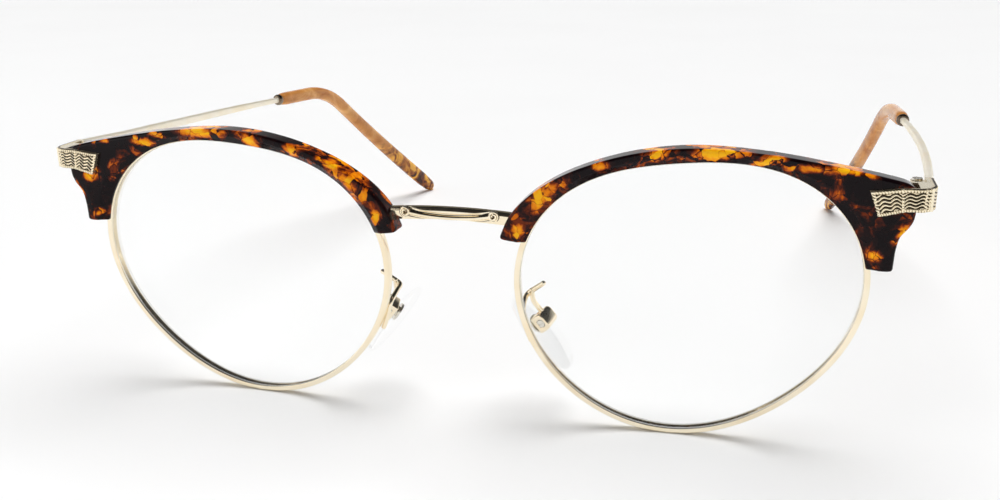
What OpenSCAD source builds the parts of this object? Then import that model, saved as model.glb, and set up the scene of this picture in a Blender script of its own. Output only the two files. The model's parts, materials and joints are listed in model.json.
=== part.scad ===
// Browline eyeglasses standing on a table with the temples open.
// X runs across the face, +Y from the front to the temple tips, +Z up.
// The origin is on the table, under the middle of the bridge and level with the eyewires' fronts.
// Left and right are the wearer's: the wearer's left is +X. Every right-hand piece is the mirror
// image of the left-hand one.

/* [Lenses and rims] */
// Distance from the middle of the bridge to each lens centre
lens_x = 36.2; // [35.5:0.1:37]
// Backward sweep of each lens plane, in degrees
wrap = 2.5; // [2:0.25:3]
// Mean radius of the eyewire's centreline
rim_r = 23.6; // [23.4:0.1:23.8]
// How much wider than tall the eyewire is
rim_oval = 1.95; // [1.8:0.05:2.1]
// How far the eyewire's fullness leans to its upper outer corner
rim_lean = 0.8; // [0.7:0.05:0.9]
// How much the top of the eyewire is flattened and its upper corners filled
rim_flat = 0.83; // [0.75:0.01:0.9]
// Thickness of the eyewire across the lens edge
wire_t = 0.85; // [0.8:0.05:0.9]
// Depth of the eyewire, front to back
wire_depth = 1.5; // [1.4:0.1:1.6]
// Thickness of the lens
lens_t = 1.8; // [1.6:0.1:2]
// Radius of the lens curve
lens_curve = 220; // [200:10:300]

/* [Brows] */
// Front face of the brow, measured from the eyewire's front
brow_front = -1.4; // [-1.5:0.05:-1.3]
// Back face of the brow, measured from the eyewire's front
brow_back = 2.2; // [2.1:0.05:2.2]

/* [Bridge] */
// Height of the bridge bar
bridge_h = 2; // [1.8:0.1:2.2]
// Rise of the bar's middle over its ends
bridge_rise = 0.45; // [0.2:0.05:0.6]
// Distance from the middle of the bridge to each scroll
scroll_x = 7.1; // [6.5:0.1:7.5]

/* [Nose pads] */
// Length of a nose pad
pad_l = 15; // [13:0.5:15]
// Width of a nose pad
pad_w = 7.5; // [7:0.5:8]
// Thickness of a nose pad
pad_t = 1.2; // [1:0.1:1.3]
// Lean of the pad's long axis from upright, in degrees
pad_lean = 40; // [38:1:42]
// Splay of the pad towards the face, in degrees
pad_splay = 15; // [13:1:17]

/* [Hinges and temples] */
// Distance from the middle of the bridge to each hinge pin
pin_x = 67.8; // [67.7:0.05:67.8]
// Radius of a hinge knuckle
knuckle_r = 0.95; // [0.9:0.05:0.95]
// Radius of a hinge screw's shank
pin_r = 0.42; // [0.38:0.02:0.44]
// Length of a temple along its curve
temple_l = 142; // [140:1:145]
// Downward slope of the temple's straight part, in degrees
temple_slope = 2.7; // [2:0.1:3]
// Length of the temple ahead of its bend
straight_l = 80; // [78:1:82]
// Radius of the bend behind the ear
bend_r = 22; // [20:1:24]
// Angle of the bend behind the ear, in degrees
bend_angle = 37; // [36:0.5:38]
// Distance along the temple at which the acetate tip starts
tip_start = 68; // [66:1:70]
// Inward swing of the wearer's right temple as it stands, in degrees
right_swing = 6.5; // [0:0.5:7]

/* [Hidden] */
$fn = 48;

gold = "#d9bf8a";
tortoise = "#4a2210";
honey = "#b9783a";
clear = [0.9, 0.95, 1, 0.35];

// Gap left between pieces that are fixed to each other
fit_gap = 0.03;
// Cuts run past the faces they open by this much
over = 1;
// Points around an eyewire
rim_steps = 96;

// The eyewire's lowest point, and the tips' lowest point, are on the table
lens_z = -min([for (a = [240:300]) rim_point(a, wire_t / 2)[1]]);

// Brow outline in the lens frame: over the top from the nose to the temple, then the wing below it
brow_top = [
    [-27.9, 8.2], [-26.1, 12], [-22.1, 15.8], [-16.2, 19.1], [-8, 21.7], [1, 22.8], [11, 22.2],
    [20, 20.8], [28, 19.2], [30.4, 18.4], [31.1, 17.2],
];
brow_wing = [
    [31.1, 14.2], [30.6, 12.7], [29.4, 11], [29, 9], [28.9, 7.2], [28.7, 6.2], [28, 5.8], [26.4, 5.8]
];

// Slot in the brow's nose end that holds the bridge bar, as height range in the lens frame
bridge_z = 33.4;
bridge_depth = 1.2;
bridge_front = -0.7;

// Endpiece: heights of its front plate and of the block round the brow's end
plate_t = 0.75;
plate_in = 60.4;
block_x = 67.5;
corner_r = 3;
end_bottom = 15;
end_top = 18.3;
end_outline = [
    [24.75, 17.8], [26.05, 14.2], [31, end_bottom], [36, end_bottom], [36, end_top], [31, end_top],
];
end_x = 70;
end_y = 6.75;
tab_y = 3.62;
tab_in = 62.8;
tab_t = 0.7;
brow_screw = [65, 39.6];

// Rim lock: the split in the eyewire, and the screw that closes it, in the lens frame
lock_angle = 20;
split = 0.16;
lock_screw = [27.1, 2];

// Hinge: three knuckles stacked round a vertical screw
hinge_y = 6.6;
hinge_h = 2.8;
hinge_z = lens_z + (end_bottom + end_top) / 2 - 0.2;
mid_h = 1;
knuckle_gap = 0.05;
leaf_x = 68.78;
arm_x = leaf_x + 0.02;

// Temple: bow outwards, curl inwards, and the core inside the tip
temple_x = 69.45;
temple_y = end_y + 0.2;
temple_bow = 0.135;
temple_curl = 21.5;
core_end = 131;
core_r = 0.6;
bore_r = 0.68;
collar_l = 1.2;
metal_w = [[0, 1.2], [50, 1.2], [tip_start - 4, 2 * core_r], [core_end, 2 * core_r]];
metal_h = [
    [0, 2.9], [4, 2.7], [12, 2], [30, 1.6], [50, 1.4], [tip_start - 4, 2 * core_r], [core_end, 2 * core_r]
];
tip_w = [[tip_start, 2.4], [tip_start + 2, 2.7], [110, 2.7], [130, 2.6], [temple_l, 2.3]];
tip_h = [[tip_start, 2.5], [tip_start + 2, 2.9], [100, 3], [125, 3.6], [136, 3.7], [temple_l, 2.8]];
bend_l = bend_r * bend_angle * PI / 180;
end_angle = temple_slope + bend_angle;
// Height of the temple's front end that brings the tip's lowest point to the table
tip_foot = 0.36;
temple_z = temple_drop(temple_l) + tip_foot;

// Nose pad: centre of the pad, and the screw box over it in the pad's own frame
pad_centre = [12.8, 7.2, 12.3];
box_at = [2.2, 0, 1.5];
box_size = [2.4, 3.6, 2.9];
post_half = 0.95;
pad_pin_r = 0.4;

// --- shared curves and frames ---

function rim_radius(a) = rim_r + rim_oval * cos(2 * a) + rim_lean * sin(2 * a) + rim_flat * sin(3 * a);

function rim_point(a, grow) = (rim_radius(a) + grow) * [cos(a), sin(a)];

// Point between b and c on the smooth curve through a, b, c and d
function between(a, b, c, d, t) =
    0.5 * (2 * b + t * (c - a) + t * t * (2 * a - 5 * b + 4 * c - d) + t * t * t * (3 * b - a - 3 * c + d));

// Smooth curve through a list of points, with steps points for each stretch
function smooth(p, steps) = concat(
    [for (i = [0:len(p) - 2], j = [0:steps - 1])
        between(p[max(i - 1, 0)], p[i], p[i + 1], p[min(i + 2, len(p) - 1)], j / steps)],
    [p[len(p) - 1]]
);

function unit(v) = v / norm(v);

module rim_area(grow) {
    polygon([for (i = [0:rim_steps - 1]) rim_point(360 * i / rim_steps, grow)]);
}

// Extrudes an outline drawn in X and Z from one depth to another
module slab(y_front, y_back) {
    translate([0, y_back, 0]) rotate([90, 0, 0]) linear_extrude(y_back - y_front) children();
}

// Frame of the wearer's left lens: x outwards, y back, z up, from the lens centre
module lens_frame() {
    translate([lens_x, 0, lens_z]) rotate([0, 0, wrap]) children();
}

// Frame of the wearer's left nose pad: x away from the nose, y along the screw, z along the pad
module pad_frame() {
    translate(pad_centre) rotate([0, -pad_lean, 0]) rotate([0, 0, -pad_splay]) children();
}

module mirrored() {
    mirror([1, 0, 0]) children();
}

module both_sides() {
    children();
    mirrored() children();
}

// Turns the wearer's right temple about its hinge pin, before it is mirrored
module swung() {
    pin = [pin_x, hinge_y, 0];
    translate(pin) rotate([0, 0, right_swing]) translate(-pin) children();
}

// Closed skin over a row of rings that all have the same number of points
module loft(rings) {
    n = len(rings[0]);
    last = len(rings) - 1;
    sides = [for (i = [0:last - 1], j = [0:n - 1])
        each [
            [i * n + j, i * n + (j + 1) % n, (i + 1) * n + j],
            [i * n + (j + 1) % n, (i + 1) * n + (j + 1) % n, (i + 1) * n + j],
        ]];
    first_cap = [for (j = [0:n - 1]) n - 1 - j];
    last_cap = [for (j = [0:n - 1]) last * n + j];
    polyhedron([for (r = rings) each r], concat(sides, [first_cap, last_cap]));
}

// --- eyewires and lenses ---

module eyewire() {
    groove_depth = 0.3;
    groove_half = 0.3;
    mid = wire_depth / 2;
    lock_z = rim_point(lock_angle, 0)[1];
    color(gold) lens_frame() difference() {
        slab(0, wire_depth) rim_area(wire_t / 2);
        slab(-over, wire_depth + over) rim_area(-wire_t / 2);
        slab(mid - groove_half, mid + groove_half) rim_area(groove_depth - wire_t / 2);
        translate([rim_r, -over, lock_z - split / 2]) cube([5, wire_depth + 2 * over, split]);
    }
}

module lens() {
    edge_gap = 0.05;
    bevel_grow = 0.2;
    bevel_half = 0.2;
    front_vertex = -1.2;
    mid = wire_depth / 2;
    color(clear) lens_frame() union() {
        difference() {
            intersection() {
                slab(-2, 4) rim_area(-wire_t / 2 - edge_gap);
                translate([0, front_vertex + lens_curve, 0]) sphere(lens_curve, $fn = 96);
            }
            translate([0, front_vertex + lens_t + lens_curve, 0]) sphere(lens_curve, $fn = 96);
        }
        slab(mid - bevel_half, mid + bevel_half) difference() {
            rim_area(bevel_grow - wire_t / 2);
            rim_area(-wire_t / 2 - 2);
        }
    }
}

// --- brows ---

module brow_area() {
    inside = [[20, 5.8], [0, 7.5], [-20, 7.5]];
    difference() {
        polygon(concat(smooth(brow_top, 6), smooth(brow_wing, 4), inside, [[-27.2, 7.5]]));
        rim_area(-wire_t / 2);
    }
}

module brow() {
    pocket = [[24.8, 6.7], [28.4, 6.7], [28.4, 11], [24.8, 11]];
    color(tortoise) difference() {
        lens_frame() difference() {
            slab(brow_front, brow_back) brow_area();
            slab(-fit_gap, wire_depth + fit_gap) rim_area(wire_t / 2 + fit_gap);
            slab(-fit_gap, brow_back + over) polygon(pocket);
        }
        bridge_bar(fit_gap);
        brow_screw_shape(fit_gap);
    }
}

module brow_screw_shape(grow) {
    shank_l = 2.4;
    shank_r = 0.45;
    translate([brow_screw[0], tab_y + tab_t, brow_screw[1]]) rotate([90, 0, 0])
        cylinder(h = shank_l + grow, r = shank_r + grow);
}

module brow_screw_left() {
    head_r = 0.9;
    head_h = 0.5;
    slot_w = 0.25;
    color(gold) difference() {
        union() {
            brow_screw_shape(0);
            translate([brow_screw[0], tab_y + tab_t + fit_gap + head_h, brow_screw[1]])
                rotate([90, 0, 0]) cylinder(h = head_h + fit_gap, r = head_r);
        }
        translate([brow_screw[0] - over, tab_y + tab_t + head_h - 0.2, brow_screw[1] - slot_w / 2])
            cube([2 * over, over, slot_w]);
    }
}

// --- bridge ---

// The arched bar between the two eyewires, grown all round for the slot that holds it
module bridge_bar(grow) {
    half = 14.5;
    steps = 24;
    xs = [for (i = [0:steps]) half * (2 * i / steps - 1)];
    top = [for (x = xs) [x, bridge_arch(x) + bridge_h / 2 + grow]];
    bottom = [for (i = [steps:-1:0]) [xs[i], bridge_arch(xs[i]) - bridge_h / 2 - grow]];
    translate([0, 0, bridge_z]) slab(bridge_front - grow, bridge_front + bridge_depth + grow)
        polygon(concat(top, bottom));
}

function bridge_arch(x) = bridge_rise * (1 - pow(x / 10.5, 2));

module bridge() {
    scroll_r = 0.85;
    raised = 0.35;
    swag_h = 0.45;
    sag = 0.7;
    steps = 16;
    xs = [for (i = [0:steps]) scroll_x * (2 * i / steps - 1)];
    scroll_z = bridge_arch(scroll_x) + 0.3;
    swag = [for (x = xs) scroll_z - sag * (1 - pow(x / scroll_x, 2))];
    color(gold) union() {
        difference() {
            bridge_bar(0);
            both_sides() lens_frame() slab(-4, 4) rim_area(wire_t / 2 + fit_gap);
        }
        translate([0, 0, bridge_z]) slab(bridge_front - raised, bridge_front + 0.1) union() {
            both_sides() translate([scroll_x, scroll_z]) circle(scroll_r);
            polygon(concat(
                [for (i = [0:steps]) [xs[i], swag[i] + swag_h]],
                [for (i = [steps:-1:0]) [xs[i], swag[i] - swag_h]]
            ));
        }
    }
}

// --- endpieces and rim locks ---

// Seen from above: the front plate, the corner, and the arm back to the hinge, with the tab behind the brow
module endpiece_plan() {
    corner_x = end_x - corner_r;
    rise = tan(wrap);
    y_in = brow_front - plate_t + (plate_in - lens_x) * rise;
    y_corner = brow_front - plate_t + (corner_x - lens_x) * rise;
    back_gap = plate_t - fit_gap;
    difference() {
        union() {
            polygon([
                [plate_in, y_in], [corner_x, y_corner], [corner_x, y_corner + corner_r],
                [end_x, y_corner + corner_r], [end_x, end_y], [arm_x, end_y], [arm_x, tab_y + tab_t],
                [tab_in, tab_y + tab_t], [tab_in, tab_y], [plate_in, tab_y],
            ]);
            translate([corner_x, y_corner + corner_r]) intersection() {
                circle(corner_r);
                translate([0, -corner_r]) square(corner_r);
            }
        }
        polygon([
            [plate_in - over, y_in + back_gap - over * rise], [block_x, y_corner + back_gap],
            [block_x, tab_y], [plate_in - over, tab_y],
        ]);
    }
}

module endpiece() {
    color(gold) difference() {
        intersection() {
            linear_extrude(2 * lens_z) endpiece_plan();
            lens_frame() slab(-5, 10) polygon(end_outline);
        }
        brow_screw_shape(fit_gap);
    }
}

module rim_lock() {
    lock_z = rim_point(lock_angle, 0)[1];
    lock_h = 3;
    screw_hole_r = 0.45;
    color(gold) lens_frame() difference() {
        translate([25.6, 0.3, lock_z - lock_h / 2]) cube([2.6, 2.6, lock_h]);
        slab(-over, 4) rim_area(wire_t / 2 + fit_gap);
        translate([20, -over, lock_z - split / 2]) cube([10, 6, split]);
        translate([lock_screw[0], lock_screw[1], lock_z - 3]) cylinder(h = 6, r = screw_hole_r);
    }
}

module rim_lock_screw() {
    lock_z = rim_point(lock_angle, 0)[1];
    shank_r = 0.4;
    head_r = 0.7;
    head_h = 0.5;
    color(gold) lens_frame() translate([lock_screw[0], lock_screw[1], 0]) union() {
        translate([0, 0, lock_z - 1.55]) cylinder(h = 3, r = shank_r);
        translate([0, 0, lock_z - 1.55 - head_h]) cylinder(h = head_h, r = head_r);
    }
}

// --- nose pads ---

// Round wire through a list of points
module wire(points, r) {
    path = smooth(points, 5);
    last = len(path) - 1;
    sides = 10;
    loft([for (i = [0:last])
        let (t = unit(path[min(i + 1, last)] - path[max(i - 1, 0)]),
             u = unit(cross(t, [0.1, 0.2, 1])),
             v = cross(t, u))
        [for (j = [0:sides - 1]) path[i] + r * (cos(360 * j / sides) * v + sin(360 * j / sides) * u)]
    ]);
}

module pad_arm() {
    arm_r = 0.42;
    hook = [[12.4, 0.95, 13.4], [11.6, 0.95, 15.6], [11.1, 1.3, 17.7], [10.8, 3.5, 18.9], [10.9, 5.4, 19.4],
            [12.2, 5.2, 20.5], [13.6, 4.85, 21.6]];
    stem = [[11.6, 5.3, 20.1], [11.7, 5.7, 18.4], [12.3, 6.2, 17.1], [13, 6.55, 16.1]];
    color(gold) union() {
        wire(hook, arm_r);
        wire(stem, arm_r);
    }
}

module pad_box() {
    wall = (box_size[1] - 2 * post_half) / 2 - 0.05;
    web = 0.4;
    recess_r = 0.72;
    recess = 0.35;
    color(gold) pad_frame() translate(box_at) difference() {
        translate(-box_size / 2) cube(box_size);
        translate([-box_size[0], -box_size[1] / 2 + wall, -box_size[2]])
            cube([1.5 * box_size[0] - web, box_size[1] - 2 * wall, 2 * box_size[2]]);
        rotate([90, 0, 0]) cylinder(h = 5, r = pad_pin_r + fit_gap, center = true);
        translate([0, -box_size[1] / 2 + recess, 0]) rotate([90, 0, 0]) cylinder(h = over, r = recess_r);
    }
}

module pad_screw() {
    head_r = 0.66;
    head_h = 0.3;
    slot_w = 0.22;
    front = -box_size[1] / 2 + 0.03;
    color(gold) pad_frame() translate(box_at) difference() {
        union() {
            translate([0, box_size[1] / 2, 0])
                rotate([90, 0, 0]) cylinder(h = box_size[1] - 0.1, r = pad_pin_r);
            translate([0, front + head_h, 0]) rotate([90, 0, 0]) cylinder(h = head_h, r = head_r);
        }
        translate([-over, front - over, -slot_w / 2]) cube([2 * over, over + 0.15, slot_w]);
    }
}

module pad_post() {
    eye_r = 0.72;
    foot_r = 1.6;
    foot_h = 0.35;
    neck_w = 1;
    color(gold) pad_frame() difference() {
        union() {
            translate(box_at) rotate([90, 0, 0]) cylinder(h = 2 * post_half, r = eye_r, center = true);
            translate([pad_t / 2 - foot_h, -post_half, box_at[2] - neck_w / 2])
                cube([box_at[0] - pad_t / 2 + foot_h - 0.5, 2 * post_half, neck_w]);
            translate([pad_t / 2 - foot_h, 0, box_at[2]])
                rotate([0, 90, 0]) cylinder(h = foot_h, r = foot_r);
        }
        translate(box_at) rotate([90, 0, 0]) cylinder(h = 5, r = pad_pin_r + 0.05, center = true);
    }
}

module nose_pad() {
    steps = 48;
    foot_r = 1.6;
    foot_h = 0.35;
    color(clear) pad_frame() difference() {
        translate([-pad_t / 2, 0, 0]) rotate([90, 0, 90]) linear_extrude(pad_t)
            polygon([
                for (i = [0:steps - 1])
                    [pad_w / 2 * cos(360 * i / steps), pad_l / 2 * sin(360 * i / steps)]
            ]);
        translate([pad_t / 2 - foot_h - fit_gap, 0, box_at[2]]) rotate([0, 90, 0])
            cylinder(h = over, r = foot_r + fit_gap);
    }
}

// --- hinges ---

module hinge_axis() {
    translate([pin_x, hinge_y, hinge_z]) children();
}

module hinge_front() {
    side_h = (hinge_h - mid_h) / 2 - knuckle_gap;
    root_t = 0.7;
    root_y = -knuckle_r - knuckle_gap - root_t;
    color(gold) hinge_axis() difference() {
        union() {
            for (z = [-hinge_h / 2, hinge_h / 2 - side_h]) translate([0, 0, z]) union() {
                cylinder(h = side_h, r = knuckle_r);
                translate([0, root_y, 0]) cube([leaf_x - pin_x, end_y - hinge_y - root_y, side_h]);
            }
            translate([-root_t, root_y, -hinge_h / 2]) cube([leaf_x - pin_x + root_t, root_t, hinge_h]);
        }
        translate([0, 0, -hinge_h]) cylinder(h = 2 * hinge_h, r = pin_r + fit_gap);
    }
}

module hinge_temple() {
    leaf_t = 0.6;
    leaf_l = 5;
    reach = temple_x - 0.62 - pin_x;
    color(gold) hinge_axis() difference() {
        union() {
            translate([0, 0, -mid_h / 2]) cylinder(h = mid_h, r = knuckle_r);
            translate([0, temple_y - hinge_y, -mid_h / 2]) cube([reach - leaf_t / 2, 1, mid_h]);
            translate([reach - leaf_t, temple_y - hinge_y, -mid_h / 2]) cube([leaf_t, leaf_l, mid_h]);
        }
        translate([0, 0, -mid_h]) cylinder(h = 2 * mid_h, r = pin_r + knuckle_gap);
    }
}

module hinge_screw() {
    head_r = 0.72;
    head_h = 0.3;
    slot_w = 0.22;
    color(gold) hinge_axis() difference() {
        union() {
            translate([0, 0, -hinge_h / 2 - 0.1]) cylinder(h = hinge_h + 0.15, r = pin_r);
            translate([0, 0, hinge_h / 2 + fit_gap]) cylinder(h = head_h, r = head_r);
        }
        translate([-over, -slot_w / 2, hinge_h / 2 + fit_gap + head_h - 0.15])
            cube([2 * over, slot_w, over]);
    }
}

// --- temples ---

// How far the temple has come back, then down, at a distance s along it
function temple_run(s) =
    s < straight_l ? s * cos(temple_slope)
    : s < straight_l + bend_l
        ? straight_l * cos(temple_slope) + bend_r * (sin(temple_angle(s)) - sin(temple_slope))
        : temple_run(straight_l + bend_l - 0.001) + (s - straight_l - bend_l) * cos(end_angle);

function temple_drop(s) =
    s < straight_l ? s * sin(temple_slope)
    : s < straight_l + bend_l
        ? straight_l * sin(temple_slope) + bend_r * (cos(temple_slope) - cos(temple_angle(s)))
        : temple_drop(straight_l + bend_l - 0.001) + (s - straight_l - bend_l) * sin(end_angle);

function temple_angle(s) =
    temple_slope + bend_angle * max(0, min(1, (s - straight_l) / bend_l));

function temple_point(s) = [
    temple_x + temple_bow * s - temple_curl * pow(s / 130, 2),
    temple_y + temple_run(s),
    temple_z - temple_drop(s),
];

// Rounded section of the temple at a distance s along it, w wide and h tall
function temple_ring(s, w, h, sides) =
    let (t = unit(temple_point(s + 0.1) - temple_point(max(s, 0.1) - 0.1)),
         u = unit(cross(t, [0, 0, 1])),
         v = cross(u, t))
    [for (j = [0:sides - 1])
        let (c = cos(360 * j / sides), q = sin(360 * j / sides))
        temple_point(s) + w / 2 * round_side(c) * u + h / 2 * round_side(q) * v];

function round_side(c) = sign(c) * pow(abs(c), 0.8);

module temple() {
    rings = 34;
    color(gold) loft([for (k = [0:rings])
        let (s = core_end * k / rings)
        temple_ring(s, lookup(s, metal_w), lookup(s, metal_h), 16)]);
}

module tip_collar() {
    outer_r = 1.25;
    p = temple_point(tip_start - collar_l - 0.02);
    t = unit(temple_point(tip_start) - p);
    color(gold) translate(p) rotate([0, acos(t[2]), atan2(t[1], t[0])]) difference() {
        cylinder(h = collar_l, r = outer_r);
        translate([0, 0, -over]) cylinder(h = collar_l + 2 * over, r = core_r + 0.05);
    }
}

module temple_tip() {
    sides = 20;
    bore = [for (k = [0:12]) core_end + 1 - (core_end + 1 - tip_start) * k / 12];
    skin_end = temple_l - 3;
    skin = [for (k = [0:22]) tip_start + (skin_end - tip_start) * k / 22];
    end_w = lookup(skin_end, tip_w);
    end_h = lookup(skin_end, tip_h);
    nose = [15, 32, 50, 68, 84];
    color(honey) loft(concat(
        [for (s = bore) temple_ring(s, 2 * bore_r, 2 * bore_r, sides)],
        [for (s = skin) temple_ring(s, lookup(s, tip_w), lookup(s, tip_h), sides)],
        [for (a = nose) temple_ring(skin_end + 3 * sin(a), end_w * cos(a), end_h * cos(a), sides)]
    ));
}

// --- pieces ---

module brow_left() { brow(); }
module brow_right() { mirrored() brow(); }
module eyewire_left() { eyewire(); }
module eyewire_right() { mirrored() eyewire(); }
module lens_left() { lens(); }
module lens_right() { mirrored() lens(); }
module endpiece_left() { endpiece(); }
module endpiece_right() { mirrored() endpiece(); }
module brow_screws() { both_sides() brow_screw_left(); }
module rim_lock_left() { rim_lock(); }
module rim_lock_right() { mirrored() rim_lock(); }
module rim_lock_screws() { both_sides() rim_lock_screw(); }
module pad_arm_left() { pad_arm(); }
module pad_arm_right() { mirrored() pad_arm(); }
module pad_box_left() { pad_box(); }
module pad_box_right() { mirrored() pad_box(); }
module pad_screws() { both_sides() pad_screw(); }
module pad_post_left() { pad_post(); }
module pad_post_right() { mirrored() pad_post(); }
module nose_pad_left() { nose_pad(); }
module nose_pad_right() { mirrored() nose_pad(); }
module hinge_front_left() { hinge_front(); }
module hinge_front_right() { mirrored() hinge_front(); }
module hinge_temple_left() { hinge_temple(); }
module hinge_temple_right() { mirrored() swung() hinge_temple(); }
module hinge_screws() { both_sides() hinge_screw(); }
module temple_left() { temple(); }
module temple_right() { mirrored() swung() temple(); }
module tip_collar_left() { tip_collar(); }
module tip_collar_right() { mirrored() swung() tip_collar(); }
module temple_tip_left() { temple_tip(); }
module temple_tip_right() { mirrored() swung() temple_tip(); }

brow_left();
brow_right();
eyewire_left();
eyewire_right();
lens_left();
lens_right();
bridge();
endpiece_left();
endpiece_right();
brow_screws();
rim_lock_left();
rim_lock_right();
rim_lock_screws();
pad_arm_left();
pad_arm_right();
pad_box_left();
pad_box_right();
pad_screws();
pad_post_left();
pad_post_right();
nose_pad_left();
nose_pad_right();
hinge_front_left();
hinge_front_right();
hinge_temple_left();
hinge_temple_right();
hinge_screws();
temple_left();
temple_right();
tip_collar_left();
tip_collar_right();
temple_tip_left();
temple_tip_right();
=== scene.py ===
"""Browline eyeglasses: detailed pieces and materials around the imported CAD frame.

Lengths are in millimetres until make() turns them into metres. Pieces are drawn for the wearer's
left (+X) and mirrored for the right. The lens frame has x outwards, y back and z up.
"""

import json
import math

import bmesh
import bpy
from mathutils import Matrix, Vector


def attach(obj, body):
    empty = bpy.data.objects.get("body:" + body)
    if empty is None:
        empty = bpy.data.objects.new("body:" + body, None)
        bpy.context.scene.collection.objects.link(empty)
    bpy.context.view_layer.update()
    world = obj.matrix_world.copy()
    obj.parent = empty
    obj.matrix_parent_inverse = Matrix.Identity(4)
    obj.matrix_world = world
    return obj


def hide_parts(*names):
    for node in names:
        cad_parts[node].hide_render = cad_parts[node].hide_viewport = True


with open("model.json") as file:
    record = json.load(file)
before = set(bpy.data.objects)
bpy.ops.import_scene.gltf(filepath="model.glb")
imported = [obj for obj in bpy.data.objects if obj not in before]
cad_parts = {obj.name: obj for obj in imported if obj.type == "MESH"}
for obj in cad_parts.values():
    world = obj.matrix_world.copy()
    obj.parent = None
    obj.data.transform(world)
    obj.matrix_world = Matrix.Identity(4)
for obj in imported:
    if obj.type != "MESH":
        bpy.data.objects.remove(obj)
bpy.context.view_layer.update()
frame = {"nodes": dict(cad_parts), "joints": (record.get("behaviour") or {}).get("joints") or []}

MM = 0.001
SIDES = (("left", 1), ("right", -1))

# Driving dimensions, as in the CAD model
LENS_X, WRAP = 36.2, math.radians(2.5)
RIM_R, RIM_OVAL, RIM_LEAN, RIM_FLAT = 23.6, 1.95, 0.8, 0.83
WIRE_T, WIRE_DEPTH = 0.85, 1.5
LENS_T, LENS_CURVE, LENS_VERTEX = 1.8, 220, -1.2
BRIDGE_Z, BRIDGE_RISE, SCROLL_X = 33.4, 0.45, 7.1
END_BOTTOM, END_TOP, END_X, END_Y, CORNER_R = 15, 18.3, 70, 6.75, 3
PAD_CENTRE, PAD_LEAN, PAD_SPLAY = Vector((12.8, 7.2, 12.3)), math.radians(40), math.radians(15)
PAD_L, PAD_W, PAD_T = 15, 7.5, 1.2
BOX_AT, BOX_SIZE = Vector((2.2, 0, 1.5)), Vector((2.4, 3.6, 2.9))
TEMPLE_X, TEMPLE_BOW, TEMPLE_CURL, TEMPLE_L = 69.45, 0.135, 21.5, 142
SLOPE, STRAIGHT_L, BEND_R, BEND = math.radians(2.7), 80, 22, math.radians(37)
TIP_START, CORE_END = 68, 131
RIGHT_SWING = math.radians(6.5)
PLATE_IN, PLATE_LOW, PLATE_HIGH, PLATE_TAPER, PLATE_SLANT = 60.95, 14.2, 17.8, 5.4, 1.3
PIN = Vector(next(j for j in frame["joints"] if j["name"] == "fold_left")["pos_m"]) / MM
TEMPLE_Y = END_Y + 0.2


# --- curves and frames ---

def rim_radius(angle):
    return (RIM_R + RIM_OVAL * math.cos(2 * angle) + RIM_LEAN * math.sin(2 * angle)
            + RIM_FLAT * math.sin(3 * angle))


def rim_point(angle, grow=0.0):
    """Point (x, z) of the eyewire's centreline in the lens frame, moved outwards by grow."""
    radius = rim_radius(angle) + grow
    return Vector((radius * math.cos(angle), radius * math.sin(angle)))


LENS_Z = -min(rim_point(math.radians(a), WIRE_T / 2).y for a in range(240, 301))


def lens_to_world(x, y, z):
    return Vector((LENS_X + x * math.cos(WRAP) - y * math.sin(WRAP),
                   x * math.sin(WRAP) + y * math.cos(WRAP), LENS_Z + z))


PAD_TURN = Matrix.Rotation(-PAD_LEAN, 3, "Y") @ Matrix.Rotation(-PAD_SPLAY, 3, "Z")


def pad_to_world(x, y, z):
    return PAD_CENTRE + PAD_TURN @ Vector((x, y, z))


def smooth(points, steps):
    """Catmull-Rom curve through points, each a tuple of numbers."""
    out = []
    for i in range(len(points) - 1):
        a, b = points[max(i - 1, 0)], points[i]
        c, d = points[i + 1], points[min(i + 2, len(points) - 1)]
        for k in range(steps):
            t = k / steps
            out.append(tuple(0.5 * (2 * q + t * (r - p) + t * t * (2 * p - 5 * q + 4 * r - s)
                                    + t ** 3 * (3 * q - p - 3 * r + s))
                             for p, q, r, s in zip(a, b, c, d)))
    return out + [tuple(points[-1])]


def lookup(s, table):
    """Value at s on straight lines between (s, value) pairs."""
    if s <= table[0][0]:
        return table[0][1]
    for (s0, v0), (s1, v1) in zip(table, table[1:]):
        if s <= s1:
            return v0 + (v1 - v0) * (s - s0) / (s1 - s0)
    return table[-1][1]


def ease(t):
    t = min(max(t, 0.0), 1.0)
    return t * t * (3 - 2 * t)


def rounded(corners, steps=5):
    """Closed outline through corners (x, y, radius), each rounded off by its radius."""
    out = []
    for i, (x, y, radius) in enumerate(corners):
        here = Vector((x, y))
        before = Vector(corners[i - 1][:2]) - here
        after = Vector(corners[(i + 1) % len(corners)][:2]) - here
        cut = radius / math.tan(before.angle(after) / 2)
        cut = min(cut, 0.49 * before.length, 0.49 * after.length)
        start, end = here + before.normalized() * cut, here + after.normalized() * cut
        for k in range(steps + 1):
            t = k / steps
            out.append((1 - t) ** 2 * start + 2 * t * (1 - t) * here + t * t * end)
    return out


# --- mesh building ---

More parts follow.
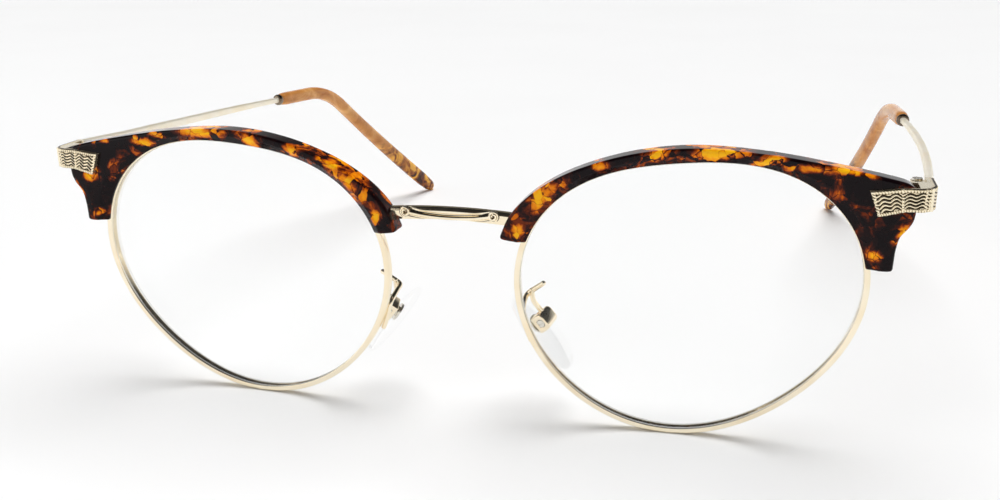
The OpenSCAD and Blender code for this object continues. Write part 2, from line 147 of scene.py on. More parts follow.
class Shape:
    """Points and faces of one piece, in millimetres, with an optional number at each point."""

    def __init__(self):
        self.points, self.faces, self.marks, self.values = [], [], [], []

    def loft(self, rings, closed=False, caps=True, mark=0, values=None):
        start, n = len(self.points), len(rings[0])
        for i, ring in enumerate(rings):
            self.points += ring
            self.values += values[i] if values else [0.0] * n
        rows = len(rings) if closed else len(rings) - 1
        for i in range(rows):
            a, b = start + i * n, start + (i + 1) % len(rings) * n
            self.faces += [(a + j, a + (j + 1) % n, b + (j + 1) % n, b + j) for j in range(n)]
        if caps and not closed:
            self.faces.append(tuple(start + j for j in reversed(range(n))))
            self.faces.append(tuple(start + (len(rings) - 1) * n + j for j in range(n)))
        self.marks += [mark] * (len(self.faces) - len(self.marks))
        return self

    def make(self, name, body, slot, materials, nodes, side=1, swing=0.0, sharp=40, value_name=None):
        """Makes the piece, in metres, on one side of the frame, and ties it to its CAD body."""
        turn = Matrix.Rotation(swing, 3, "Z")
        points = [PIN + turn @ (p - PIN) if swing else p for p in self.points]
        mesh = bpy.data.meshes.new(name)
        mesh.from_pydata([(side * p.x * MM, p.y * MM, p.z * MM) for p in points], [], self.faces)
        for material in materials:
            mesh.materials.append(material)
        mesh.polygons.foreach_set("material_index", self.marks)
        if value_name:
            mesh.attributes.new(value_name, "FLOAT", "POINT").data.foreach_set("value", self.values)
        tidy = bmesh.new()
        tidy.from_mesh(mesh)
        bmesh.ops.recalc_face_normals(tidy, faces=tidy.faces)
        tidy.to_mesh(mesh)
        tidy.free()
        mesh.shade_smooth()
        mesh.set_sharp_from_angle(angle=math.radians(sharp))
        piece = bpy.data.objects.new(name, mesh)
        bpy.context.scene.collection.objects.link(piece)
        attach(piece, body)
        if nodes:
            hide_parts(*nodes)
        return piece


def tube_rings(path, radius, sides=20, round_ends=True):
    """Rings of a round wire along a path of points, with rounded ends."""
    points = [Vector(p) for p in path]
    rings = []
    last = len(points) - 1
    for i, p in enumerate(points):
        along = (points[min(i + 1, last)] - points[max(i - 1, 0)]).normalized()
        across = along.cross(Vector((0.1, 0.2, 1))).normalized()
        up = across.cross(along)

        def ring(centre, r):
            return [centre + r * (math.cos(math.tau * j / sides) * across
                                  + math.sin(math.tau * j / sides) * up) for j in range(sides)]

        cap = [math.radians(a) for a in (85, 60, 35, 15)] if round_ends else []
        if i == 0:
            rings += [ring(p - along * radius * math.sin(a), radius * math.cos(a)) for a in cap]
        rings.append(ring(p, radius))
        if i == last:
            rings += [ring(p + along * radius * math.sin(a), radius * math.cos(a))
                      for a in reversed(cap)]
    return rings


# --- materials ---

class Nodes:
    """Short-hand for building one material's node tree."""

    def __init__(self, name):
        self.material = bpy.data.materials.new(name)
        self.material.use_nodes = True
        self.tree = self.material.node_tree
        self.shader = self.tree.nodes["Principled BSDF"]
        self.output = self.tree.nodes["Material Output"]
        self.place = self.add("ShaderNodeTexCoord").outputs["Object"]

    def add(self, kind, inputs=None, **settings):
        node = self.tree.nodes.new(kind)
        for key, value in settings.items():
            setattr(node, key, value)
        for key, value in (inputs or {}).items():
            if isinstance(value, bpy.types.NodeSocket):
                self.tree.links.new(value, node.inputs[key])
            else:
                node.inputs[key].default_value = value
        return node

    def set(self, **values):
        for key, value in values.items():
            socket = self.shader.inputs[key.replace("_", " ")]
            if isinstance(value, bpy.types.NodeSocket):
                self.tree.links.new(value, socket)
            else:
                socket.default_value = value

    def noise(self, scale, detail=3, rough=0.5, distortion=0.0, vector=None):
        """Noise over the surface; scale is in cycles per metre."""
        return self.add("ShaderNodeTexNoise", {"Vector": vector or self.place, "Scale": scale,
                                               "Detail": detail, "Roughness": rough,
                                               "Distortion": distortion}).outputs["Fac"]

    def ramp(self, value, stops):
        node = self.add("ShaderNodeValToRGB", {"Fac": value})
        bar = node.color_ramp.elements
        while len(bar) < len(stops):
            bar.new(0.5)
        for element, (position, colour) in zip(bar, stops):
            element.position = position
            element.color = (*colour, 1) if len(colour) == 3 else colour
        return node.outputs["Color"]

    def math(self, operation, a, b=0.0, clamp=False):
        return self.add("ShaderNodeMath", {0: a, 1: b}, operation=operation,
                        use_clamp=clamp).outputs[0]

    def range(self, value, low, high, to_low=0.0, to_high=1.0):
        return self.add("ShaderNodeMapRange", {"Value": value, "From Min": low, "From Max": high,
                                               "To Min": to_low, "To Max": to_high},
                        interpolation_type="SMOOTHSTEP").outputs["Result"]

    def mix(self, factor, a, b, blend="MIX"):
        node = self.add("ShaderNodeMix", data_type="RGBA", blend_type=blend)
        for socket, value in zip((node.inputs[0], node.inputs[6], node.inputs[7]), (factor, a, b)):
            if isinstance(value, bpy.types.NodeSocket):
                self.tree.links.new(value, socket)
            else:
                socket.default_value = value if not isinstance(value, tuple) else (*value, 1)
        return node.outputs[2]

    def bump(self, height, strength, distance):
        return self.add("ShaderNodeBump", {"Height": height, "Strength": strength,
                                           "Distance": distance}).outputs["Normal"]

    def soft_edges(self, radius, normal=None):
        inputs = {"Radius": radius}
        if normal:
            inputs["Normal"] = normal
        return self.add("ShaderNodeBevel", inputs, samples=6).outputs["Normal"]


def metal_material(name, colour, dark, low, high, edges=0.0, metallic=1.0, scratches=0.05):
    """Polished plated metal: slight colour drift, faint polishing haze and fine scratches."""
    n = Nodes(name)
    drift = n.noise(180, 2)
    n.set(Base_Color=n.mix(n.range(drift, 0.35, 0.7), colour, dark), Metallic=metallic,
          Roughness=n.range(n.noise(900, 4, 0.6), 0.3, 0.75, low, high))
    scratch = n.add("ShaderNodeMapping", {"Vector": n.place, "Scale": (400, 400, 5000)}).outputs[0]
    normal = n.bump(n.noise(1, 2, vector=scratch), scratches, 0.00003)
    n.set(Normal=n.soft_edges(edges, normal) if edges else normal)
    return n.material


def engraved_material():
    """Pale gold, nearly black down in the chased grooves."""
    n = Nodes("engraved_gold")
    relief = n.add("ShaderNodeAttribute", attribute_name="relief").outputs["Fac"]
    grain = n.noise(2500, 3)
    raised = n.math("ADD", relief, n.range(grain, 0.2, 0.8, -0.08, 0.08))
    n.set(Base_Color=n.ramp(raised, [(0.1, (0.012, 0.009, 0.006)), (0.34, (0.12, 0.09, 0.05)),
                                     (0.52, (0.84, 0.7, 0.46)), (1.0, (0.97, 0.87, 0.66))]),
          Metallic=0.85, Roughness=n.range(raised, 0.1, 0.6, 0.42, 0.18),
          Normal=n.bump(grain, 0.08, 0.00004))
    return n.material


def tortoise_material():
    """Polished tortoiseshell acetate: angular amber chips, each cell of the mosaic a little lighter or
    darker than the next, with dark seams. The amber attribute says where the light patches lie."""
    n = Nodes("tortoise_acetate")
    amber = n.add("ShaderNodeAttribute", attribute_name="amber").outputs["Fac"]
    warp = n.add("ShaderNodeTexNoise", {"Vector": n.place, "Scale": 420, "Detail": 2}).outputs["Color"]
    bent = n.add("ShaderNodeMix", {0: 0.0013}, data_type="RGBA", blend_type="LINEAR_LIGHT")
    n.tree.links.new(n.place, bent.inputs[6])
    n.tree.links.new(warp, bent.inputs[7])
    chips = n.add("ShaderNodeTexVoronoi", {"Vector": bent.outputs[2], "Scale": 620},
                  feature="F1").outputs["Color"]
    seams = n.add("ShaderNodeTexVoronoi", {"Vector": bent.outputs[2], "Scale": 620},
                  feature="DISTANCE_TO_EDGE").outputs["Distance"]
    chip = n.add("ShaderNodeSeparateColor", {"Color": chips})
    swirl = n.noise(300, 3, 0.55, 0.8)
    grain = n.noise(1400, 3, 0.6, 0.5)
    field = n.math("ADD", amber, n.range(chip.outputs[0], 0, 1, -0.3, 0.24))
    field = n.math("ADD", field, n.range(swirl, 0.3, 0.7, -0.16, 0.16))
    field = n.math("ADD", field, n.range(grain, 0.3, 0.7, -0.07, 0.07))
    stray = n.range(n.noise(190, 4, 0.6, 0.9), 0.43, 0.66, 0.0, 0.58)
    field = n.math("MAXIMUM", field, n.math("SUBTRACT", stray, n.range(chip.outputs[2], 0, 1, 0, 0.2)))
    seam = n.range(seams, 0.0, 0.06, n.range(chip.outputs[1], 0.35, 0.8, 0.0, 0.42), 0.0)
    field = n.math("SUBTRACT", field, seam)
    colour = n.ramp(field, [(0.0, (0.005, 0.002, 0.003)), (0.24, (0.013, 0.004, 0.004)),
                            (0.35, (0.055, 0.009, 0.004)), (0.45, (0.18, 0.026, 0.003)),
                            (0.52, (0.42, 0.07, 0.003)), (0.6, (0.74, 0.17, 0.003)),
                            (0.76, (0.93, 0.3, 0.003)), (1.0, (1.0, 0.5, 0.008))])
    n.set(Base_Color=colour, Roughness=n.range(swirl, 0.3, 0.7, 0.06, 0.1), IOR=1.49,
          Specular_IOR_Level=0.13)
    return n.material


def tip_material():
    """Honey acetate that darkens and mottles towards the tip's end."""
    n = Nodes("honey_acetate")
    along = n.add("ShaderNodeAttribute", attribute_name="along").outputs["Fac"]
    cloud = n.noise(140, 4, 0.6, 1.0)
    honey = n.ramp(cloud, [(0.3, (0.42, 0.14, 0.03)), (0.5, (0.6, 0.26, 0.07)),
                           (0.7, (0.78, 0.42, 0.15))])
    blotch = n.ramp(n.noise(230, 3, 0.6, 1.4), [(0.38, (0.05, 0.015, 0.008)),
                                                (0.48, (0.3, 0.08, 0.015)),
                                                (0.6, (0.86, 0.42, 0.05))])
    mottled = n.range(n.math("ADD", along, n.range(cloud, 0.3, 0.7, -0.1, 0.1)), 0.56, 0.76)
    n.set(Base_Color=n.mix(mottled, honey, blotch), Roughness=n.range(cloud, 0.3, 0.7, 0.12, 0.2),
          Specular_IOR_Level=0.3,
          Normal=n.bump(n.noise(900, 2), 0.03, 0.00003))
    return n.material


def clear_material(name, tint, edge_tint, haze, shine):
    """Clear plastic: what is behind shows through, tinted at grazing angles, under a clear gloss."""
    n = Nodes(name)
    n.tree.nodes.remove(n.shader)
    facing = n.add("ShaderNodeLayerWeight", {"Blend": 0.25}).outputs["Facing"]
    edge = n.range(facing, 0.55, 1.0)
    smear = n.range(n.noise(120, 3), 0.4, 0.8, 0.0, haze)
    colour = n.mix(edge, tint, edge_tint)
    colour = n.mix(smear, colour, edge_tint)
    through = n.add("ShaderNodeBsdfTransparent", {"Color": colour})
    gloss = n.add("ShaderNodeBsdfGlossy", {"Color": (1, 1, 1, 1), "Roughness": 0.03})
    fresnel = n.math("MULTIPLY", n.add("ShaderNodeFresnel", {"IOR": 1.42}).outputs["Fac"], shine)
    mixed = n.add("ShaderNodeMixShader", {0: fresnel, 1: through.outputs[0], 2: gloss.outputs[0]})
    n.tree.links.new(mixed.outputs[0], n.output.inputs["Surface"])
    return n.material


def floor_material():
    n = Nodes("pale_floor")
    n.set(Base_Color=n.ramp(n.noise(8, 3), [(0.3, (0.93, 0.93, 0.93)), (0.7, (0.95, 0.95, 0.95))]),
          Roughness=0.7, Specular_IOR_Level=0.2)
    return n.material


gold = metal_material("pale_gold", (0.96, 0.86, 0.67), (0.92, 0.79, 0.57), 0.08, 0.16)
satin_gold = metal_material("satin_gold", (1.0, 0.93, 0.78), (0.98, 0.88, 0.68), 0.4, 0.45, metallic=0.5,
                            scratches=0.004)
gold_cad = metal_material("pale_gold_small_parts", (0.96, 0.86, 0.67), (0.9, 0.77, 0.55), 0.1, 0.2,
                          0.00012)
steel = metal_material("screw_steel", (0.82, 0.79, 0.72), (0.7, 0.66, 0.58), 0.16, 0.3, 0.00006)
dark = metal_material("dark_bronze", (0.16, 0.12, 0.09), (0.3, 0.24, 0.17), 0.18, 0.35)
engraved = engraved_material()
tortoise = tortoise_material()
honey = tip_material()
lens_clear = clear_material("clear_lens", (0.995, 0.998, 0.998), (0.95, 0.96, 0.96), 0.01, 0.4)
lens_edge = clear_material("lens_edge", (0.9, 0.89, 0.86), (0.55, 0.53, 0.5), 0.05, 0.3)
pad_clear = clear_material("clear_pad", (0.996, 0.996, 0.995), (0.88, 0.89, 0.9), 0.05, 0.14)


# --- brows ---

# Outer edge x and z in the lens frame, and the rim angle opposite, from the nose to the temple
BROW = ((-27.9, 8.3, 162.2), (-26.1, 12, 154), (-22.1, 15.8, 143), (-16.2, 19.1, 128),
        (-8, 21.7, 109), (1, 22.8, 88), (11, 22.2, 66), (20, 20.8, 48), (28, 19.2, 35),
        (30.4, 18.4, 31), (31.1, 17.2, 28.5), (31.1, 14.2, 24.5), (30.6, 12.7, 22.5),
        (29.4, 11, 20), (29, 9, 17.3), (28.9, 7.4, 15.3), (28.85, 6.35, 14))
# Main amber patches of each brow: share of the way from the nose to the wing's foot, share
# of the width from the inner edge, and the patch's half length and half width in millimetres
PATCHES = {
    "left": ((0.02, 0.4, 1.4, 1.0), (0.12, 0.6, 2.4, 1.4), (0.25, 0.7, 1.0, 0.8), (0.36, 0.8, 1.6, 0.8),
             (0.48, 0.7, 3.4, 1.0), (0.58, 0.5, 1.2, 1.2), (0.66, 0.7, 2.2, 1.0), (0.72, 0.95, 2.6, 0.6),
             (0.85, 0.75, 1.4, 1.6), (0.92, 0.9, 1.6, 1.0), (0.96, 0.3, 1.2, 0.8)),
    "right": ((0.03, 0.5, 1.0, 0.7), (0.12, 0.5, 2.6, 1.5), (0.19, 0.9, 1.4, 0.6), (0.27, 0.6, 1.5, 1.0),
              (0.38, 0.5, 1.2, 1.1), (0.5, 0.8, 3.4, 0.9), (0.6, 0.7, 1.0, 0.9), (0.66, 0.5, 1.6, 1.2),
              (0.74, 0.95, 1.4, 0.6), (0.86, 0.5, 1.4, 1.4), (0.93, 0.9, 2.0, 0.6), (0.98, 0.4, 1.0, 0.8)),
}
LEAN = 0.5


def brow_section(width, bevel):
    """Brow cross-section: distance out from the inner edge, and depth. It wraps round the eyewire."""
    corners = ((0, -0.4, 0.12), (bevel, -1.3, 0.3), (0.55 * width + 0.4, -1.42, 2),
               (width, -1.3, 0.75), (width, 2.2, 0.6), (0.3, 2.2, 0.2), (0.3, 1.56, 0.05),
               (0.72, 1.56, 0.02), (0.72, -0.04, 0.02), (0, -0.04, 0.05))
    outline = rounded(corners)
    out = []
    for i, (a, b) in enumerate(zip(outline, outline[1:] + outline[:1])):
        long_side = i in (5, 11, 17, 23, 29)
        parts = 10 if long_side else 1
        out += [a.lerp(b, k / parts) for k in range(parts)]
    return out


def amber_at(along, length, out, width, y, patches):
    """Over 1 in the middle of an amber patch and 0 outside it; patches lean with width and depth."""
    best = 0.0
    for share, across, half_l, half_w in patches:
        d_out = out - across * width
        d_along = along - share * length - LEAN * d_out + 0.3 * y
        best = max(best, 1.12 - 0.58 * math.hypot(d_along / half_l, d_out / half_w))
    return best


def brow(name, side):
    stations = smooth(BROW, 16)
    rings, values = [], []
    last = len(stations) - 1
    travel = [0.0]
    for a, b in zip(stations, stations[1:]):
        travel.append(travel[-1] + math.dist(a[:2], b[:2]))
    order = [(0, 80), (0, 55), (0, 30)] + [(i, 0) for i in range(last + 1)]
    order += [(last, 30), (last, 55), (last, 80)]
    for i, cap in order:
        x, z, angle = stations[i]
        inner = rim_point(math.radians(angle), -0.3)
        outer = Vector((x, z))
        across = (outer - inner).normalized()
        width = (outer - inner).length
        sign = -1 if i == 0 else 1
        towards = Vector((across.y, -across.x)) * sign
        inset = 0.45 * (1 - math.cos(math.radians(cap)))
        push = 0.45 * math.sin(math.radians(cap))
        bevel = 1.25 + 0.5 * ease((x - 15) / 12)
        ring, row = [], []
        for a, y in brow_section(width, bevel):
            middle = Vector((width / 2 + 0.1, 0.4))
            pull = Vector((a, y)) - middle
            shrink = max(0.0, 1 - inset / max(0.5, pull.length))
            a, y = middle + pull * shrink if cap else (a, y)
            flat = inner + across * a + towards * push
            ring.append(lens_to_world(flat.x, y, flat.y))
            row.append(amber_at(travel[i], travel[-1], a, width, y, PATCHES[name]))
        rings.append(ring)
        values.append(row)
    Shape().loft(rings, values=values).make(
        f"brow_front_{name}", "front", "brow_acetate", [tortoise], [f"brow_{name}"], side,
        value_name="amber", sharp=50)


# --- eyewires and lenses ---

def eyewire(name, side):
    half, steps = WIRE_T / 2, 240
    section = rounded(((half, 0, 0.22), (half, WIRE_DEPTH, 0.22), (-half, WIRE_DEPTH, 0.14),
                       (-half, 1.1, 0.05), (-0.12, 0.75, 0.05), (-half, 0.4, 0.05), (-half, 0, 0.14)), 4)
    rings = []
    for i in range(steps):
        angle = math.tau * i / steps
        ring = []
        for grow, y in section:
            x, z = rim_point(angle, grow)
            ring.append(lens_to_world(x, y, z))
        rings.append(ring)
    Shape().loft(rings, closed=True).make(
        f"rim_wire_{name}", "front", "gold_metal", [gold], [f"eyewire_{name}"], side, sharp=45)


def lens(name, side):
    steps, rows = 144, 16
    shape = Shape()

    def row(share, back, grow=-0.46):
        ring = []
        for i in range(steps):
            x, z = rim_point(math.tau * i / steps, grow) * share
            y = LENS_VERTEX + (x * x + z * z) / (2 * LENS_CURVE) + (LENS_T if back else 0)
            ring.append(lens_to_world(x, y, z))
        return ring

    shares = [0.004] + [k / rows for k in range(1, rows + 1)]
    shape.loft([row(s, False) for s in shares], caps=False)
    shape.faces.append(tuple(range(steps)))
    shape.marks.append(0)
    start = len(shape.points)
    shape.loft([row(s, True) for s in shares], caps=False)
    shape.faces.append(tuple(start + i for i in range(steps)))
    shape.marks.append(0)
    edge = []
    for back, depth in ((False, None), (False, 0.5), (None, 0.75), (True, 1.0), (True, None)):
        if depth is None:
            edge.append(row(1, back))
            continue
        grow = -0.2 if back is None else -0.46
        ring = []
        for i in range(steps):
            x, z = rim_point(math.tau * i / steps, grow)
            ring.append(lens_to_world(x, depth, z))
        edge.append(ring)
    shape.loft(edge, caps=False, mark=1)
    shape.make(f"lens_disc_{name}", "front", "lens", [lens_clear, lens_edge], [f"lens_{name}"], side,
               sharp=60)


# --- bridge ---

def arch(x):
    return BRIDGE_RISE * (1 - (x / 10.5) ** 2)


def bridge():
    """Arched bar with a raised swag between two scrolls."""
    shape = Shape()
    steps, half = 160, 13.2
    scroll_z = arch(SCROLL_X) + 0.3
    rings = []
    for i in range(steps + 1):
        x = half * (2 * i / steps - 1)
        swag = scroll_z - 0.75 * (1 - (x / SCROLL_X) ** 2)
        show = ease((SCROLL_X - abs(x)) / 0.6)
        ring = []
        for k in range(49):
            t = 2 * k / 48 - 1
            z = arch(x) + t
            y = -0.78 + 0.8 * max(t - 0.42, 0) ** 1.2 + 0.3 * max(-t - 0.2, 0) ** 2
            y -= 0.3 * show * math.exp(-((z - swag) / 0.3) ** 4)
            y += 0.16 * show * math.exp(-((z - swag + 0.52) / 0.16) ** 2)
            y += 0.16 * show * math.exp(-((z - swag - 0.52) / 0.16) ** 2)
            ring.append(Vector((x, y, BRIDGE_Z + z)))
        back = rounded(((0.0, 1.0, 0.1), (0.5, 1.0, 0.2), (0.5, -1.0, 0.2), (0.0, -1.0, 0.1)), 3)
        ring += [Vector((x, y, BRIDGE_Z + arch(x) + z)) for y, z in back]
        rings.append(ring)
    shape.loft(rings)
    for side in (1, -1):
        centre = Vector((side * SCROLL_X, 0, BRIDGE_Z + scroll_z))
        curl = []
        for k in range(40):
            turn = math.radians(-60 + 13 * k)
            radius = 0.78 - 0.011 * k
            curl.append((centre.x + side * radius * math.cos(turn), -0.92 - 0.004 * k,
                         centre.z + radius * math.sin(turn)))
        shape.loft(tube_rings(curl, 0.21, 12))
        dome = [[Vector((centre.x + r * math.cos(math.tau * j / 20), y,
                         centre.z + r * math.sin(math.tau * j / 20))) for j in range(20)]
                for r, y in ((0.86, -0.5), (0.86, -0.78), (0.5, -0.8), (0.2, -0.86), (0.02, -0.9))]
        shape.loft(dome, mark=1)
    shape.make("bridge_bar", "front", "gold_metal", [gold, dark], ["bridge"])


# --- endpieces ---

def endpiece_path(s):
    """Point and outward direction (x, y) of the endpiece's face, a distance s back from its inner edge."""
    front_x, front_y = PLATE_IN, -2.15 + (PLATE_IN - LENS_X) * math.tan(WRAP)
    flat = END_X - CORNER_R - front_x
    arc = CORNER_R * math.pi / 2
    rise = math.tan(WRAP)
    corner_y = front_y + flat * rise
    if s < flat:
        return Vector((front_x + s, front_y + s * rise)), Vector((rise, -1)).normalized()
    if s < flat + arc:
        turn = (s - flat) / CORNER_R
        out = Vector((math.sin(turn), -math.cos(turn)))
        return Vector((END_X - CORNER_R, corner_y + CORNER_R)) + out * CORNER_R, out
    return Vector((END_X, corner_y + CORNER_R + s - flat - arc)), Vector((1, 0))


def bead(distance, width):
    return math.sqrt(max(0.0, 1 - (distance / width) ** 2))


def chasing(s, height, total):
    """Relief of the chased pattern, 0 in the grooves to 1 on the ridges."""
    border = 0.26
    spacing = 0.42
    pulse = 0.3 + 0.7 * abs(math.cos(math.pi * s / spacing))
    rise = max(bead(height - border, border), bead(total - border - height, border)) * pulse
    column = 0.3 + 0.7 * abs(math.cos(math.pi * height / spacing))
    for place, width in ((0.3, 0.26), (4.25, 0.2), (7.5, 0.2), (8.15, 0.2), (15.0, 0.25)):
        rise = max(rise, bead(s - place, width) * column)
    if rise == 0 or (2 * border < height < total - 2 * border):
        across = (height - 2 * border) / (total - 4 * border)
        zig = abs(((s - 0.55) / 1.85) % 1 * 2 - 1)
        wave = 4.6 * across + 0.75 * ease(zig) + 0.25 * math.sin(1.7 * s)
        ridge = 0.5 + 0.5 * math.cos(math.tau * wave)
        rise = max(rise, 0.85 * ridge ** 0.8)
    return rise


def endpiece(name, side):
    steps, rows, depth, sink = 330, 76, 0.16, 0.7
    length = 15.35
    rings, values = [], []
    for i in range(steps + 1):
        s = length * i / steps
        ring, row = [], []
        reach = ease(s / PLATE_TAPER)
        low = PLATE_LOW + (END_BOTTOM - PLATE_LOW) * reach
        high = PLATE_HIGH + (END_TOP - PLATE_HIGH) * reach
        for k in range(rows + 1):
            v = k / rows
            slant = (1 - v) * PLATE_SLANT * max(0.0, 1 - s / PLATE_TAPER)
            here, out = endpiece_path(s + slant)
            relief = chasing(s, v * (high - low), high - low)
            edge = min(v, 1 - v) * (high - low)
            soft = 0.1 * (1 - bead(max(0.0, 0.12 - edge), 0.12))
            point = here + out * (depth * (relief - 1) - soft)
            ring.append(Vector((point.x, point.y, LENS_Z + low + v * (high - low))))
            row.append(relief)
        for v in (1, 0):
            slant = (1 - v) * PLATE_SLANT * max(0.0, 1 - s / PLATE_TAPER)
            here, out = endpiece_path(s + slant)
            point = here - out * sink
            ring.append(Vector((point.x, point.y, LENS_Z + low + v * (high - low))))
            row.append(1.0)
        rings.append(ring)
        values.append(row)
    shape = Shape().loft(rings, values=values)
    # The tab that the brow screw passes through, and the block at the back that carries the hinge
    for x0, x1, y0, y1, inset in ((62.8, 69.2, 3.62, 4.32, 0.15), (67.52, 69.4, 0.1, 4.0, 0.04),
                                  (68.8, 69.5, 3.9, END_Y, 0.04)):
        section = rounded(((x0, y0, 0.12), (x1, y0, 0.12), (x1, y1, 0.12), (x0, y1, 0.12)), 3)
        low, high = LENS_Z + END_BOTTOM + inset, LENS_Z + END_TOP - inset
        shape.loft([[Vector((x, y, z)) for x, y in section] for z in (low, high)],
                   values=[[1.0] * len(section)] * 2)
    shape.make(f"endpiece_plate_{name}", "front", "engraved_gold", [engraved],
               [f"endpiece_{name}"], side, value_name="relief", sharp=50)


# --- nose pads ---

HOOK = ((12.4, 0.95, 13.4), (11.6, 0.95, 15.6), (11.1, 1.3, 17.7), (10.8, 3.5, 18.9),
        (10.9, 5.4, 19.4), (12.2, 5.2, 20.5), (13.6, 4.85, 21.6))
STEM = ((11.6, 5.3, 20.1), (11.7, 5.7, 18.4), (12.3, 6.2, 17.1), (13, 6.55, 16.1))


def pad_arm(name, side):
    shape = Shape()
    for path in (HOOK, STEM):
        shape.loft(tube_rings(smooth(path, 10), 0.42))
    shape.make(f"pad_arm_wire_{name}", "front", "gold_metal", [gold], [f"pad_arm_{name}"], side)


def pad_box(name, side):
    """Square-fronted box with a rounded back and a sunk screw seat in its front face."""
    w, l, h = BOX_SIZE
    outline = rounded(((-w / 2, -h / 2, 0.25), (w / 2, -h / 2, 1.0), (w / 2, h / 2, 1.0),
                       (-w / 2, h / 2, 0.25)), 7)
    rings = []

    def ring(y, share):
        return [pad_to_world(*(BOX_AT + Vector((p.x * share, y, p.y * share)))) for p in outline]

    def round_hole(y, r):
        return [pad_to_world(*(BOX_AT + Vector((r * math.cos(math.atan2(p.y, p.x)), y,
                                                r * math.sin(math.atan2(p.y, p.x))))))
                for p in outline]

    front, back = -l / 2, l / 2
    rings += [round_hole(front + 0.42, 0.02), round_hole(front + 0.4, 0.7),
              round_hole(front + 0.06, 0.72), round_hole(front, 0.78)]
    rings += [ring(front, 0.86), ring(front + 0.04, 0.95), ring(front + 0.16, 1.0)]
    rings += [ring(back - 0.5, 1.0), ring(back - 0.2, 0.96), ring(back - 0.05, 0.88),
              ring(back, 0.76), ring(back, 0.05)]
    Shape().loft(rings).make(f"pad_box_shell_{name}", "front", "gold_metal", [gold],
                             [f"pad_box_{name}"], side, sharp=50)


def nose_pad(name, side):
    """Soft clear pad: a rounded oval, fuller at its lower end, with a domed face."""
    steps, rows = 72, 10
    rings = []

    def outline(share, x):
        ring = []
        for i in range(steps):
            a = math.tau * i / steps
            y = PAD_W / 2 * math.cos(a) * (1 - 0.1 * math.sin(a))
            z = PAD_L / 2 * math.sin(a)
            ring.append(pad_to_world(x, y * share, z * share))
        return ring

    for k in range(rows + 1):
        share = max(0.01, math.sin(math.pi / 2 * k / rows))
        rings.append(outline(share, -PAD_T / 2 * math.sqrt(max(0.0, 1 - (0.96 * share) ** 4))))
    for k in range(rows, -1, -1):
        share = max(0.01, math.sin(math.pi / 2 * k / rows))
        rings.append(outline(share, PAD_T / 2 * math.sqrt(max(0.0, 1 - (0.96 * share) ** 6))))
    Shape().loft(rings).make(f"pad_{name}", f"pad_{name}", "pad_clear", [pad_clear],
                             [f"nose_pad_{name}"], side, sharp=60)


# --- temples ---

def temple_point(s):
    bend_l = BEND_R * BEND
    turn = SLOPE + BEND * min(max((s - STRAIGHT_L) / bend_l, 0), 1)
    run = min(s, STRAIGHT_L) * math.cos(SLOPE)
    drop = min(s, STRAIGHT_L) * math.sin(SLOPE)
    run += BEND_R * (math.sin(turn) - math.sin(SLOPE))
    drop += BEND_R * (math.cos(SLOPE) - math.cos(turn))
    rest = max(0, s - STRAIGHT_L - bend_l)
    return Vector((TEMPLE_X + TEMPLE_BOW * s - TEMPLE_CURL * (s / 130) ** 2,
                   TEMPLE_Y + run + rest * math.cos(turn), -drop - rest * math.sin(turn)))


TEMPLE_Z = 0.36 - temple_point(TEMPLE_L).z
METAL_W = ((0, 1.2), (50, 1.2), (TIP_START - 4, 1.2), (CORE_END, 1.2))
METAL_H = ((0, 2.9), (4, 2.7), (12, 2), (30, 1.6), (50, 1.4), (TIP_START - 4, 1.2), (CORE_END, 1.2))
TIP_W = ((TIP_START, 2.4), (TIP_START + 2, 2.7), (110, 2.7), (130, 2.6), (TEMPLE_L, 2.3))
TIP_H = ((TIP_START, 2.5), (TIP_START + 2, 2.9), (100, 3), (125, 3.6), (136, 3.7), (TEMPLE_L, 2.8))


def temple_ring(s, width, height, sides=28, power=0.8):
    along = (temple_point(s + 0.1) - temple_point(max(s, 0.1) - 0.1)).normalized()
    across = along.cross(Vector((0, 0, 1))).normalized()
    up = across.cross(along)
    centre = temple_point(s) + Vector((0, 0, TEMPLE_Z))
    ring = []
    for j in range(sides):
        c, q = math.cos(math.tau * j / sides), math.sin(math.tau * j / sides)
        ring.append(centre + across * (width / 2 * math.copysign(abs(c) ** power, c))
                    + up * (height / 2 * math.copysign(abs(q) ** power, q)))
    return ring


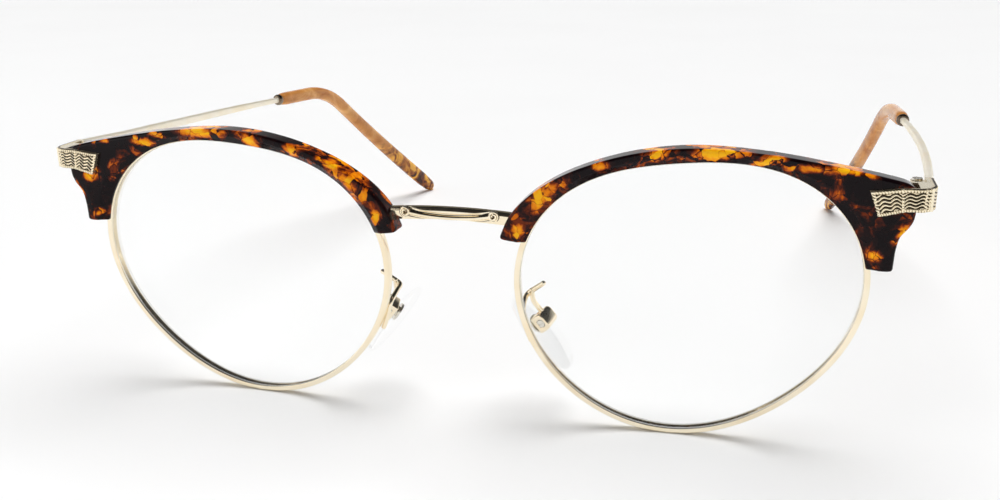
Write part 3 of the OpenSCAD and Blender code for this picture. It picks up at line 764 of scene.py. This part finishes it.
def temple(name, side):
    swing = 0.0 if side > 0 else RIGHT_SWING
    body = f"temple_arm_{name}"
    metal = [0, 0.04, 0.14, 0.3] + [1 + k * (TIP_START - 1) / 70 for k in range(72)]
    rings = []
    for s in metal:
        inset = 0.3 * (1 - bead(max(0.0, 0.3 - s), 0.3))
        rings.append(temple_ring(s, lookup(s, METAL_W) - 2 * inset, lookup(s, METAL_H) - 2 * inset,
                                 power=0.7))
    Shape().loft(rings).make(f"temple_wire_{name}", body, "gold_metal", [satin_gold],
                             [f"temple_{name}"], side, swing)
    rings, values = [], []
    end = TEMPLE_L - 3
    shares = [TIP_START + 0.02 + (end - TIP_START) * k / 110 for k in range(111)]
    for s in shares:
        inset = 0.35 * (1 - bead(max(0.0, 0.35 - (s - TIP_START)), 0.35))
        rings.append(temple_ring(s, lookup(s, TIP_W) - 2 * inset, lookup(s, TIP_H) - 2 * inset))
    for a in (10, 20, 30, 40, 50, 60, 70, 80, 87):
        a = math.radians(a)
        rings.append(temple_ring(end + 3 * math.sin(a), lookup(end, TIP_W) * math.cos(a),
                                 lookup(end, TIP_H) * math.cos(a)))
    values = [[i / (len(rings) - 1)] * len(ring) for i, ring in enumerate(rings)]
    Shape().loft(rings, values=values).make(
        f"ear_tip_{name}", body, "tip_acetate", [honey], [f"temple_tip_{name}"], side, swing,
        value_name="along")
    collar = [temple_ring(TIP_START - 1.2 + t * 1.16, 2 * r, 2 * r, 32, 1.0)
              for t, r in ((0, 0.62), (0, 0.95), (0.08, 1.12), (0.25, 1.22), (0.5, 1.25),
                           (0.75, 1.22), (0.92, 1.12), (1, 0.95), (1, 0.62))]
    Shape().loft(collar).make(f"collar_{name}", body, "dark_metal", [dark],
                              [f"tip_collar_{name}"], side, swing)


# --- pieces ---

for side_name, side_sign in SIDES:
    brow(side_name, side_sign)
    eyewire(side_name, side_sign)
    lens(side_name, side_sign)
    endpiece(side_name, side_sign)
    pad_arm(side_name, side_sign)
    pad_box(side_name, side_sign)
    nose_pad(side_name, side_sign)
    temple(side_name, side_sign)
bridge()

CAD_LOOKS = {
    gold_cad: ["rim_lock_left", "rim_lock_right", "hinge_front_left", "hinge_front_right",
               "hinge_temple_left", "hinge_temple_right"],
    steel: ["brow_screws", "rim_lock_screws", "pad_screws", "hinge_screws", "pad_post_left",
            "pad_post_right"],
}
for look, names in CAD_LOOKS.items():
    for cad_name in names:
        mesh = frame["nodes"][cad_name].data
        mesh.materials.clear()
        mesh.materials.append(look)


# --- floor, light and camera ---

def floor():
    size = 3.0
    mesh = bpy.data.meshes.new("floor")
    corners = [(x * size, y * size, 0) for x, y in ((-1, -1), (1, -1), (1, 1), (-1, 1))]
    mesh.from_pydata(corners, [], [(0, 1, 2, 3)])
    mesh.materials.append(floor_material())
    piece = bpy.data.objects.new("floor", mesh)
    bpy.context.scene.collection.objects.link(piece)


def area_light(name, place, target, size, watts):
    light = bpy.data.lights.new(name, "AREA")
    light.shape = "RECTANGLE"
    light.size, light.size_y = size
    light.energy = watts
    lamp = bpy.data.objects.new(name, light)
    lamp.location = place
    lamp.rotation_euler = (Vector(target) - Vector(place)).to_track_quat("-Z", "Y").to_euler()
    bpy.context.scene.collection.objects.link(lamp)


def sky_light(name, towards, strength, spread):
    """Even light on everything, from the direction given, with soft shadows."""
    light = bpy.data.lights.new(name, "SUN")
    light.energy = strength
    light.angle = math.radians(spread)
    lamp = bpy.data.objects.new(name, light)
    lamp.rotation_euler = Vector(towards).to_track_quat("Z", "Y").to_euler()
    lamp.visible_glossy = False
    bpy.context.scene.collection.objects.link(lamp)


def surroundings():
    """Bright studio walls, darker straight overhead, which gives the metal its dark reflections."""
    world = bpy.data.worlds.new("studio")
    bpy.context.scene.world = world
    world.use_nodes = True
    nodes, links = world.node_tree.nodes, world.node_tree.links
    up = nodes.new("ShaderNodeSeparateXYZ")
    place = nodes.new("ShaderNodeTexCoord")
    links.new(place.outputs["Generated"], up.inputs[0])
    ramp = nodes.new("ShaderNodeValToRGB")
    links.new(up.outputs["Z"], ramp.inputs["Fac"])
    bar = ramp.color_ramp.elements
    for element, (position, level) in zip([bar[0], bar[1], bar.new(0.5), bar.new(0.6)],
                                          ((0.0, 1.0), (0.3, 1.0), (0.46, 0.035), (1.0, 0.01))):
        element.position = position
        element.color = (level, level, level, 1)
    background = nodes["Background"]
    links.new(ramp.outputs["Color"], background.inputs["Color"])
    background.inputs["Strength"].default_value = 1.25


def camera():
    """Eye point and view angles; the lens suits a frame twice as wide as tall."""
    place = Vector((47.2, -148.4, 78.7)) * MM
    yaw, pitch, roll = (math.radians(a) for a in (-14.86, 18.16, -0.91))
    forward = Vector((math.sin(yaw) * math.cos(pitch), math.cos(yaw) * math.cos(pitch),
                      -math.sin(pitch)))
    level = Vector((math.cos(yaw), -math.sin(yaw), 0))
    upright = level.cross(forward)
    right = level * math.cos(roll) + upright * math.sin(roll)
    up = upright * math.cos(roll) - level * math.sin(roll)
    data = bpy.data.cameras.new("camera")
    data.sensor_width = 36
    data.lens = 37.65
    data.clip_start = 0.01
    eye = bpy.data.objects.new("camera", data)
    eye.matrix_world = Matrix.Translation(place) @ Matrix((right, up, -forward)).transposed().to_4x4()
    bpy.context.scene.collection.objects.link(eye)
    bpy.context.scene.camera = eye


floor()
surroundings()
sky_light("overhead", (0.1, 0.25, 1.0), 2.9, 50)
area_light("left_panel", (-0.7, -0.5, 0.5), (0, 0, 0.02), (0.5, 0.7), 1.5)
camera()
bpy.context.scene.view_settings.view_transform = "Standard"
